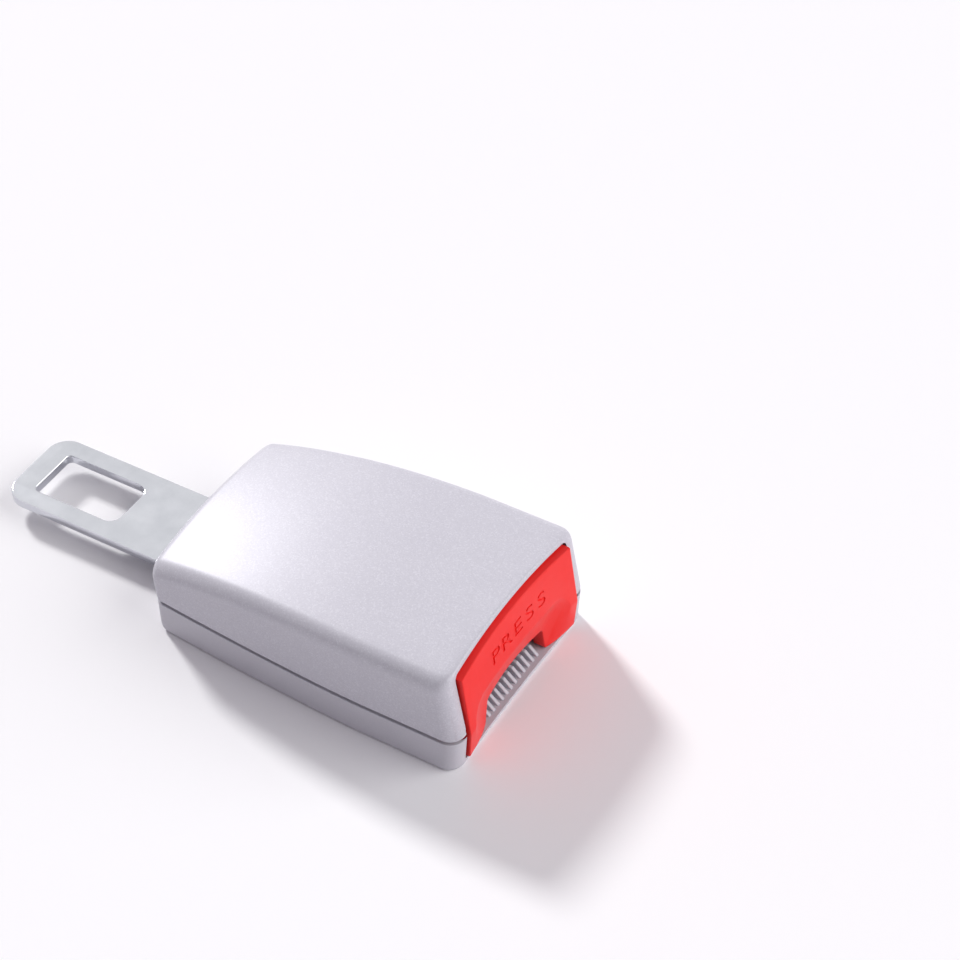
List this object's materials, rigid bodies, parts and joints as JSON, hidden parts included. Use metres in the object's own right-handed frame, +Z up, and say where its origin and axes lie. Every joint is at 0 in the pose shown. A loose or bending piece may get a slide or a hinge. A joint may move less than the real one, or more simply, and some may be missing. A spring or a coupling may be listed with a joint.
{
  "type": "seat belt extender",
  "caption": "Seat belt extender: a windowed steel tongue at one end and a push-button buckle in a moulded case at the other, with its latch, ejector and springs inside.",
  "frame": {"origin": "centre of the bounding box in X and Y, at the underside of the lower casing", "axes": "+X from the tongue towards the release button, +Y across the case, +Z up out of the cover"},
  "size_m": [0.1284, 0.0522, 0.0268],
  "materials": {
    "painted_cover": "silver-grey metallic paint on moulded plastic",
    "tray_plastic": "moulded silver grey",
    "red_plastic": "satin red",
    "chromed_steel": "bright chrome plate",
    "zinc_plated_steel": "zinc plate",
    "hardened_steel": "dark hardened steel",
    "spring_steel": "drawn wire",
    "acetal_plastic": "black moulded"
  },
  "bodies": {
    "housing": {"upper_casing": "painted_cover", "lower_casing": "tray_plastic", "tongue_plate": "chromed_steel", "buckle_frame": "zinc_plated_steel", "spring_bridge": "zinc_plated_steel", "tongue_rivet_front": "zinc_plated_steel", "tongue_rivet_rear": "zinc_plated_steel", "latch_pin": "zinc_plated_steel", "pin_clip_left": "spring_steel", "pin_clip_right": "spring_steel", "latch_spring": "spring_steel", "ejector_spring": "spring_steel", "button_spring_left": "spring_steel", "button_spring_right": "spring_steel", "casing_screw_front_right": "zinc_plated_steel", "casing_screw_front_left": "zinc_plated_steel", "casing_screw_rear_right": "zinc_plated_steel", "casing_screw_rear_left": "zinc_plated_steel"},
    "button": {"release_button": "red_plastic"},
    "latch": {"latch": "hardened_steel"},
    "ejector": {"ejector": "acetal_plastic"}
  },
  "joints": [
    {"name": "button_press", "type": "slide", "parent": "housing", "child": "button", "axis": [-1, 0, 0], "range_m": [0, 0.005], "stiffness_N_per_m": 900, "springref_m": -0.003, "deforming": ["button_spring_left", "button_spring_right"]},
    {"name": "latch_lift", "type": "hinge", "parent": "housing", "child": "latch", "pos_m": [0.01493, 0, 0.011], "axis": [0, -1, 0], "range_deg": [0, 12], "stiffness_Nm_per_rad": 0.08, "springref_deg": -20.05, "deforming": ["latch_spring"]},
    {"name": "ejector_slide", "type": "slide", "parent": "housing", "child": "ejector", "axis": [-1, 0, 0], "range_m": [0, 0.012], "stiffness_N_per_m": 350, "springref_m": -0.006, "deforming": ["ejector_spring"]}
  ],
  "couplings": [
    {"joint": "latch_lift", "follows": "button_press", "rad_per_m": 41.887}
  ]
}
